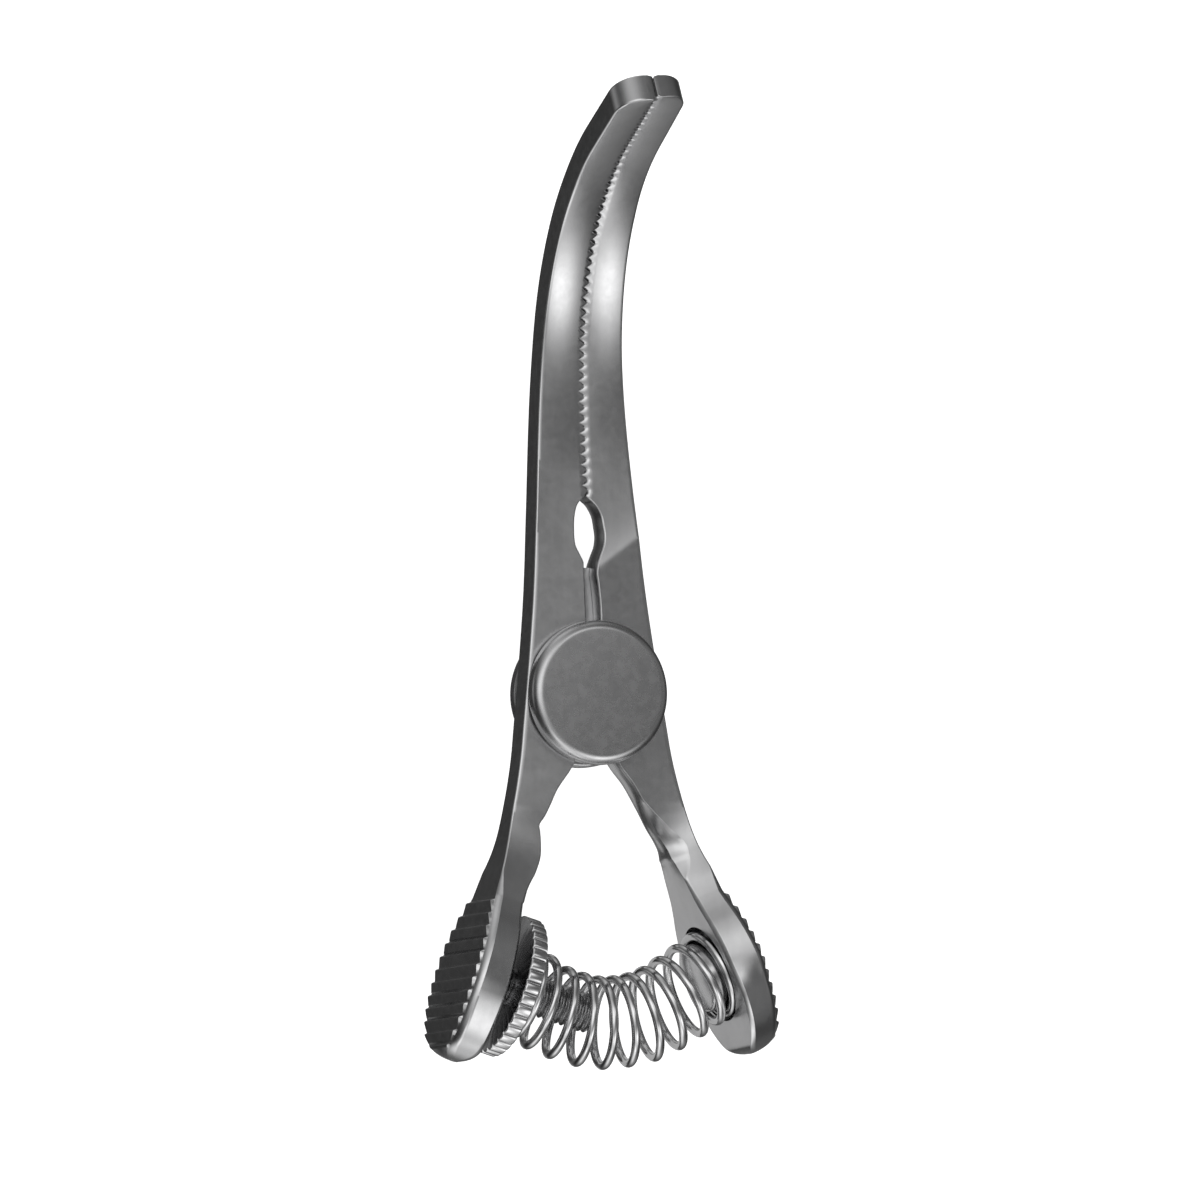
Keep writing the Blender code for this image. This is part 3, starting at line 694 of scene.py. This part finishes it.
def arm(name, side):
    """One arm, with its half of the lap, its pin bore and the hole for the stud or the post."""
    points, faces = loft(arm_rings(side))
    if side > 0:
        faces = [f[::-1] for f in faces]
    obj = mesh_object(name, points, faces)
    # the left arm keeps the front half of the lap, the right arm the rear half
    front = -side
    skin = front * LUG_SKIN
    far = front * -3 * ARM_HALF
    low, high = min(-skin, far), max(-skin, far)
    cut(obj, cylinder(LUG_POCKET, low, high), "DIFFERENCE")
    if side < 0:
        x, y = TONGUE_ROOM
        room = block((TONGUE_EDGE - LAP_CLEARANCE, y, low), (x, TONGUE_TOP + LAP_CLEARANCE, high))
        cut(obj, room, "DIFFERENCE")
    face = front * (ARM_HALF - SEAT_GAP)
    low, high = min(skin, face), max(skin, face)
    cut(obj, cylinder(LUG_RADIUS, low, high), "UNION")
    if side > 0:
        x, y = TONGUE_ROOT
        cut(obj, block((TONGUE_EDGE, y, low), (x, TONGUE_TOP, high)), "UNION")
    cut(obj, cylinder(PIN_BORE, -2 * ARM_HALF, 2 * ARM_HALF), "DIFFERENCE")
    place = seat_place(side)
    radius = STUD_RADIUS if side < 0 else SPIGOT_RADIUS
    if side > 0:
        cut(obj, cylinder(RECESS_RADIUS, -RECESS_DEPTH, CUTTER_RISE), "DIFFERENCE", place)
    cut(obj, cylinder(radius + HOLE_CLEARANCE, -HOLE_DEPTH, CUTTER_RISE), "DIFFERENCE", place)
    smooth(obj.data, SHARP_EDGE)
    return placed(obj, Matrix.Identity(4))


# ---- hinge, adjuster and spring ----


def boss(name, turned):
    """Slightly domed disc with elliptical edges, hollow over the pin. The front one faces +Z."""
    angles = np.radians(range(0, 91, 6))
    (back_in, back_up), (front_in, front_up) = BOSS_BACK_EDGE, BOSS_EDGE
    profile = [(0, PIN_SOCKET), (PIN_BORE, PIN_SOCKET), (PIN_BORE, BOSS_BACK)]
    for a in angles[::-1]:
        profile.append((BOSS_RADIUS - back_in * (1 - math.cos(a)), BOSS_BACK + back_up * (1 - math.sin(a))))
    for a in angles:
        profile.append((BOSS_RADIUS - front_in * (1 - math.cos(a)), BOSS_FACE - front_up * (1 - math.sin(a))))
    rim = BOSS_RADIUS - front_in
    profile += [(rim * f, BOSS_FACE + BOSS_DOME * (1 - f * f)) for f in (0.97, 0.9, 0.75, 0.5, 0.25, 0.0)]
    obj = mesh_object(name, *lathe(profile, 192))
    return placed(obj, Matrix.Rotation(math.pi if turned else 0, 4, "Y"))


def stud(name):
    """Right-hand thread: the ridge climbs one pitch in each turn anticlockwise."""
    around = 40
    rows = int((STUD_LENGTH - STUD_ROOT) / (THREAD_PITCH / THREAD_STEPS))
    rings = []
    for k in range(rows + 1):
        height = STUD_ROOT + (STUD_LENGTH - STUD_ROOT) * k / rows
        fade = ramp(height, *THREADED)
        end = ramp(height, STUD_LENGTH - STUD_POINT, STUD_LENGTH)
        ring = []
        for i in range(around):
            phase = height / THREAD_PITCH - i / around
            groove = abs(2 * (phase - math.floor(phase)) - 1) ** THREAD_POWER
            radius = STUD_RADIUS - THREAD_DEPTH * groove * fade
            radius = min(radius, STUD_RADIUS - STUD_POINT * end * end)
            angle = math.tau * i / around
            ring.append((radius * math.cos(angle), radius * math.sin(angle), height))
        rings.append(ring)
    return placed(mesh_object(name, *loft(rings), sharp=60), seat_place(-1))


def nut(name):
    """Knurled disc around Z: rounded straight ridges between narrow grooves, softly chamfered rims."""
    rim = []
    count = KNURL_COUNT * KNURL_STEPS
    for k in range(count):
        share = abs(2 * (k % KNURL_STEPS) / KNURL_STEPS - 1)
        rim.append((math.tau * k / count, KNURL_HOLLOW * share**2 + (1 - KNURL_HOLLOW) * share**8))
    # (height, distance inside the rim or None at the bore, how far the grooves have deepened)
    levels = [(0.0, None, 0.0)]
    for a in np.radians((0, 30, 60, 90)):
        levels.append((NUT_CHAMFER * (1 - math.cos(a)), NUT_CHAMFER * (1 - math.sin(a)), math.sin(a)))
    levels += [(NUT_THICKNESS / 2, 0.0, 1.0)]
    levels += [(NUT_THICKNESS - h, inset, deep) for h, inset, deep in levels[4:0:-1]]
    levels += [(NUT_THICKNESS, None, 0.0)]
    points = []
    for height, inset, deep in levels:
        depth = KNURL_DEPTH * (KNURL_FACE_DEPTH + (1 - KNURL_FACE_DEPTH) * deep)
        for angle, groove in rim:
            r = NUT_BORE if inset is None else NUT_RADIUS - inset - depth * groove
            points.append((r * math.cos(angle), r * math.sin(angle), NUT_STANDOFF + height))
    faces = []
    for level in range(len(levels)):
        after = (level + 1) % len(levels)
        for i in range(count):
            j = (i + 1) % count
            faces.append((level * count + i, level * count + j, after * count + j, after * count + i))
    return placed(mesh_object(name, points, faces, sharp=40), seat_place(-1))


def post(name):
    """Plain post with a round-edged end, on a thinner spigot that fills the plate's hole."""
    floor = SEAT_GAP - RECESS_DEPTH
    profile = [(0, STUD_ROOT), (SPIGOT_RADIUS, STUD_ROOT), (SPIGOT_RADIUS, floor), (POST_RADIUS, floor)]
    for angle in np.radians(range(0, 91, 10)):
        out = POST_RADIUS - POST_ROUND * (1 - math.cos(angle))
        profile.append((out, POST_LENGTH - POST_ROUND * (1 - math.sin(angle))))
    profile.append((0, POST_LENGTH))
    return placed(mesh_object(name, *lathe(profile, 128)), seat_place(1))


def spring_rows():
    """(turn, x, y, angle) from the coil seated on the nut to the coil in the right plate's recess."""
    first, last = SPRING_TURNS
    across = math.cos(PLATE_TILT)
    down = math.sin(PLATE_TILT)
    lift = NUT_STANDOFF + NUT_THICKNESS + WIRE_RADIUS + SEAT_GAP
    start = (-SEAT_X + lift * across, SEAT_Y - lift * down)
    seat = WIRE_RADIUS + SEAT_GAP - RECESS_DEPTH
    end = (SEAT_X - seat * across, SEAT_Y - seat * down)
    rows = [
        (first, start[0], start[1], -PLATE_TILT),
        (first + 1, start[0] + SEATED_PITCH * across, start[1] - SEATED_PITCH * down, -PLATE_TILT),
    ]
    rows += [(t, x * MM, y * MM, math.radians(a)) for t, x, y, a in SPRING_LINE]
    rows += [(last - SEATED_TURNS, end[0], end[1], PLATE_TILT), (last, end[0], end[1], PLATE_TILT)]
    return np.array(rows)


def spring(name, first, last, per_turn=48, around=18):
    """The coils from turn first to turn last of one right-hand helix on the bowed centreline."""
    rows = spring_rows()
    steps = int(round((last - first) * per_turn))

    def centre(turn):
        x, y, angle = (hermite(rows[:, 0], rows[:, c], turn) for c in (1, 2, 3))
        swing = math.tau * turn
        down = Vector((math.sin(angle), -math.cos(angle), 0))
        reach = down * math.cos(swing) - Vector((0, 0, 1)) * math.sin(swing)
        return Vector((x, y, 0)) + reach * COIL_RADIUS, Vector((math.cos(angle), math.sin(angle), 0))

    rings = []
    for k in range(steps + 1):
        turn = first + (last - first) * k / steps
        middle, axis = centre(turn)
        ahead = (centre(turn + 0.01)[0] - centre(turn - 0.01)[0]).normalized()
        side = axis.cross(ahead).normalized()
        other = ahead.cross(side).normalized()
        phases = [math.tau * i / around for i in range(around)]
        rings.append([middle + (side * math.cos(a) + other * math.sin(a)) * WIRE_RADIUS for a in phases])
    return placed(mesh_object(name, *loft(rings), sharp=60), Matrix.Identity(4))


# ---- materials ----


def node(tree, kind, inputs=None, **settings):
    made = tree.nodes.new(kind)
    for key, value in settings.items():
        setattr(made, key, value)
    for key, value in (inputs or {}).items():
        socket = made.inputs[key]
        if isinstance(value, bpy.types.NodeSocket):
            tree.links.new(value, socket)
        else:
            socket.default_value = value
    return made


def calc(tree, operation, *values, **settings):
    inputs = dict(enumerate(values))
    return node(tree, "ShaderNodeMath", inputs, operation=operation, **settings).outputs[0]


def noise(tree, place, scale, detail, **inputs):
    inputs = {"Vector": place, "Scale": scale, "Detail": detail, **inputs}
    return node(tree, "ShaderNodeTexNoise", inputs).outputs[0]


def mapped(tree, value, low, high, to_low=0.0, to_high=1.0):
    """value taken from the range low to high into the range to_low to to_high, and clamped to it."""
    inputs = {"Value": value, "From Min": low, "From Max": high, "To Min": to_low, "To Max": to_high}
    return node(tree, "ShaderNodeMapRange", inputs).outputs[0]


def steel(name, grey, roughness, stretch, grain, bump, edge_shine):
    """Satin or polished steel: finishing grain, shade painted into the colour of its corners and recesses,
    and shinier on its worn edges.
    """
    material = bpy.data.materials.new(name)
    material.use_nodes = True
    tree = material.node_tree
    tree.nodes.clear()
    place = node(tree, "ShaderNodeTexCoord").outputs["Object"]
    lines = node(tree, "ShaderNodeMapping", {"Vector": place, "Scale": stretch}).outputs[0]
    brushed = noise(tree, lines, 1.0, 5.0, Roughness=0.65)
    cloud = noise(tree, place, CLOUD_SCALE, 3.0)
    smear = noise(tree, place, SMEAR_SCALE, 4.0, Distortion=0.6)

    colour = (grey, grey, grey + BLUE_CAST)
    low, high = (tuple(c * f for c in colour) + (1.0,) for f in TONES)
    tone = mapped(tree, calc(tree, "ADD", brushed, cloud), 0.6, 1.4)
    # sockets 6 and 7 of a Mix node are its two colours
    tint = node(tree, "ShaderNodeMix", {0: tone, 6: low, 7: high}, data_type="RGBA").outputs[2]
    # painted shade: the colour darkens where ambient occlusion finds other surfaces close by, in corners and
    # recesses
    open_sky = node(tree, "ShaderNodeAmbientOcclusion", {"Distance": CORNER_REACH}, samples=6).outputs["AO"]
    painted_shade = mapped(tree, open_sky, 0.1, 0.7, CORNER_DARKEST)
    tint = node(tree, "ShaderNodeVectorMath", {0: tint, "Scale": painted_shade}, operation="SCALE").outputs[0]

    rounded = node(tree, "ShaderNodeBevel", {"Radius": WORN_RADIUS}, samples=4).outputs[0]
    plain = node(tree, "ShaderNodeNewGeometry").outputs["Normal"]
    same = node(tree, "ShaderNodeVectorMath", {0: rounded, 1: plain}, operation="DOT_PRODUCT")
    worn = mapped(tree, same.outputs["Value"], 0.995, 0.90)
    rough = mapped(tree, smear, 0.3, 0.7, roughness - grain, roughness + grain)
    shine = calc(tree, "MULTIPLY", worn, -edge_shine)
    rough = calc(tree, "ADD", rough, shine, use_clamp=True)

    height = calc(tree, "ADD", brushed, smear)
    grooves = {"Height": height, "Strength": bump, "Distance": GRAIN_HEIGHT, "Normal": rounded}
    relief = node(tree, "ShaderNodeBump", grooves).outputs[0]
    surface = node(
        tree, "ShaderNodeBsdfPrincipled",
        {"Base Color": tint, "Metallic": 1.0, "Roughness": rough, "Normal": relief},
    )
    output = node(tree, "ShaderNodeOutputMaterial")
    tree.links.new(surface.outputs[0], output.inputs["Surface"])
    return material


def dress(obj, material):
    obj.data.materials.clear()
    obj.data.materials.append(material)


# ---- studio ----


def aim(obj, towards):
    obj.rotation_euler = (-Vector(towards)).to_track_quat("-Z", "Y").to_euler()


def softbox(name, towards, spread, brightness, distance=0.5):
    """A square soft light seen from the pivot in direction towards, spread degrees across."""
    size = 2 * distance * math.tan(math.radians(spread) / 2)
    data = bpy.data.lights.new(name, "AREA")
    data.shape = "SQUARE"
    data.size = size
    data.energy = brightness * math.pi * size * size
    lamp = bpy.data.objects.new(name, data)
    bpy.context.scene.collection.objects.link(lamp)
    direction = Vector(towards).normalized()
    lamp.location = PIVOT + direction * distance
    aim(lamp, direction)
    lamp.visible_camera = False


def world():
    """Dim room with soft glows. The camera itself sees plain white."""
    made = bpy.data.worlds.new("studio")
    made.use_nodes = True
    tree = made.node_tree
    tree.nodes.clear()
    place = node(tree, "ShaderNodeTexCoord").outputs["Generated"]
    total = node(tree, "ShaderNodeValue").outputs[0]
    total.default_value = ROOM
    for direction, sharpness, brightness in GLOWS:
        towards = Vector(direction).normalized()
        near = node(tree, "ShaderNodeVectorMath", {0: place, 1: towards}, operation="DOT_PRODUCT")
        power = calc(tree, "MULTIPLY_ADD", near.outputs["Value"], sharpness, -sharpness)
        total = calc(tree, "MULTIPLY_ADD", calc(tree, "EXPONENT", power), brightness, total)
    seen = node(tree, "ShaderNodeLightPath").outputs["Is Camera Ray"]
    level = node(tree, "ShaderNodeMix", {0: seen, 2: total, 3: 1.0}).outputs[0]
    sky = node(tree, "ShaderNodeBackground", {"Color": (1.0, 1.0, 1.0, 1.0), "Strength": level})
    output = node(tree, "ShaderNodeOutputWorld")
    tree.links.new(sky.outputs[0], output.inputs["Surface"])
    bpy.context.scene.world = made


def panel(name, low, high, height, material):
    """Flat rectangle of the studio between two opposite corners."""
    corners = (low, (high[0], low[1]), high, (low[0], high[1]))
    obj = mesh_object(name, [(x, y, height) for x, y in corners], [(0, 1, 2, 3)])
    obj.data.materials.append(material)
    return obj


def paper(name, white, glow):
    """Matt grey that also gives off its own light."""
    material = bpy.data.materials.new(name)
    material.use_nodes = True
    surface = material.node_tree.nodes["Principled BSDF"]
    surface.inputs["Base Color"].default_value = (white, white, white, 1.0)
    surface.inputs["Roughness"].default_value = 0.9
    surface.inputs["Specular IOR Level"].default_value = 0.0
    surface.inputs["Emission Color"].default_value = (1.0, 1.0, 1.0, 1.0)
    surface.inputs["Emission Strength"].default_value = glow
    return material


def studio():
    world()
    softbox("key_light", *KEY_LIGHT)
    ground = cad_box[0].z
    floor_paper = paper("floor_paper", FLOOR_WHITE, FLOOR_GLOW)
    floor = panel("floor", (-FLOOR_HALF, -FLOOR_HALF), (FLOOR_HALF, FLOOR_HALF), ground, floor_paper)
    # the steel reflects the room's glows, also from below, instead of the floor
    floor.visible_glossy = False
    floor.visible_shadow = False
    card_paper = paper("card_paper", 0.0, CARD_GLOW)
    for name, (low, high) in CARDS.items():
        panel(name, low, high, ground - CARD_DEPTH, card_paper)


def camera():
    """A long lens far off, so that the view is almost parallel."""
    data = bpy.data.cameras.new("camera")
    data.sensor_width = SENSOR
    data.lens = SENSOR * VIEW_DISTANCE / VIEW_WIDTH
    data.clip_end = 10
    obj = bpy.data.objects.new("camera", data)
    bpy.context.scene.collection.objects.link(obj)
    turn, dip, roll = VIEW_TURN, VIEW_DIP, VIEW_ROLL
    right = Vector((math.cos(turn), 0, math.sin(turn)))
    up = Vector((math.sin(turn) * math.sin(dip), math.cos(dip), -math.cos(turn) * math.sin(dip)))
    back = right.cross(up)
    x = right * math.cos(roll) - up * math.sin(roll)
    y = right * math.sin(roll) + up * math.cos(roll)
    place = PIVOT + right * VIEW_AIM[0] + up * VIEW_AIM[1] + back * VIEW_DISTANCE
    obj.matrix_world = Matrix.Translation(place) @ Matrix((x, y, back)).transposed().to_4x4()
    bpy.context.scene.camera = obj


# ---- the clamp ----


def build():
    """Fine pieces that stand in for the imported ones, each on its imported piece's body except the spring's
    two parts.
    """
    steels = {name: steel(name, *look) for name, look in STEELS.items()}
    for name, side, body in (("left_arm", -1, "left_side"), ("right_arm", 1, "right_side")):
        piece = arm(name + "_steel", side)
        dress(piece, steels["arm_steel"])
        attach(piece, body)
        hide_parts(name)
    for name, turned in (("front_pivot_disc", False), ("rear_pivot_disc", True)):
        piece = boss(name + "_steel", turned)
        dress(piece, steels["disc_steel"])
        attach(piece, "left_side")
        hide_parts(name)
    for name, make, material, body in (
        ("tension_stud", stud, "stud_steel", "left_side"),
        ("tension_nut", nut, "bright_steel", "nut"),
        ("spring_post", post, "bright_steel", "right_side"),
    ):
        piece = make(name + "_steel")
        dress(piece, steels[material])
        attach(piece, body)
        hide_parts(name)

    first, last = SPRING_TURNS
    nut_end = spring("spring_nut_end", first, SPRING_SPLIT)
    post_end = spring("spring_post_end", SPRING_SPLIT, last)
    for piece in (nut_end, post_end):
        dress(piece, steels["spring_steel"])
        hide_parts("compression_spring")
    rows = spring_rows()
    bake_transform(nut_end)
    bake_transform(post_end)

    # the pin shows as it was packed, and only takes the discs' steel
    pin = frame["nodes"]["pivot_pin"]
    for slot in pin.material_slots:
        slot.material = steels["disc_steel"]


build()
studio()
camera()
bpy.context.scene.view_settings.view_transform = "Standard"
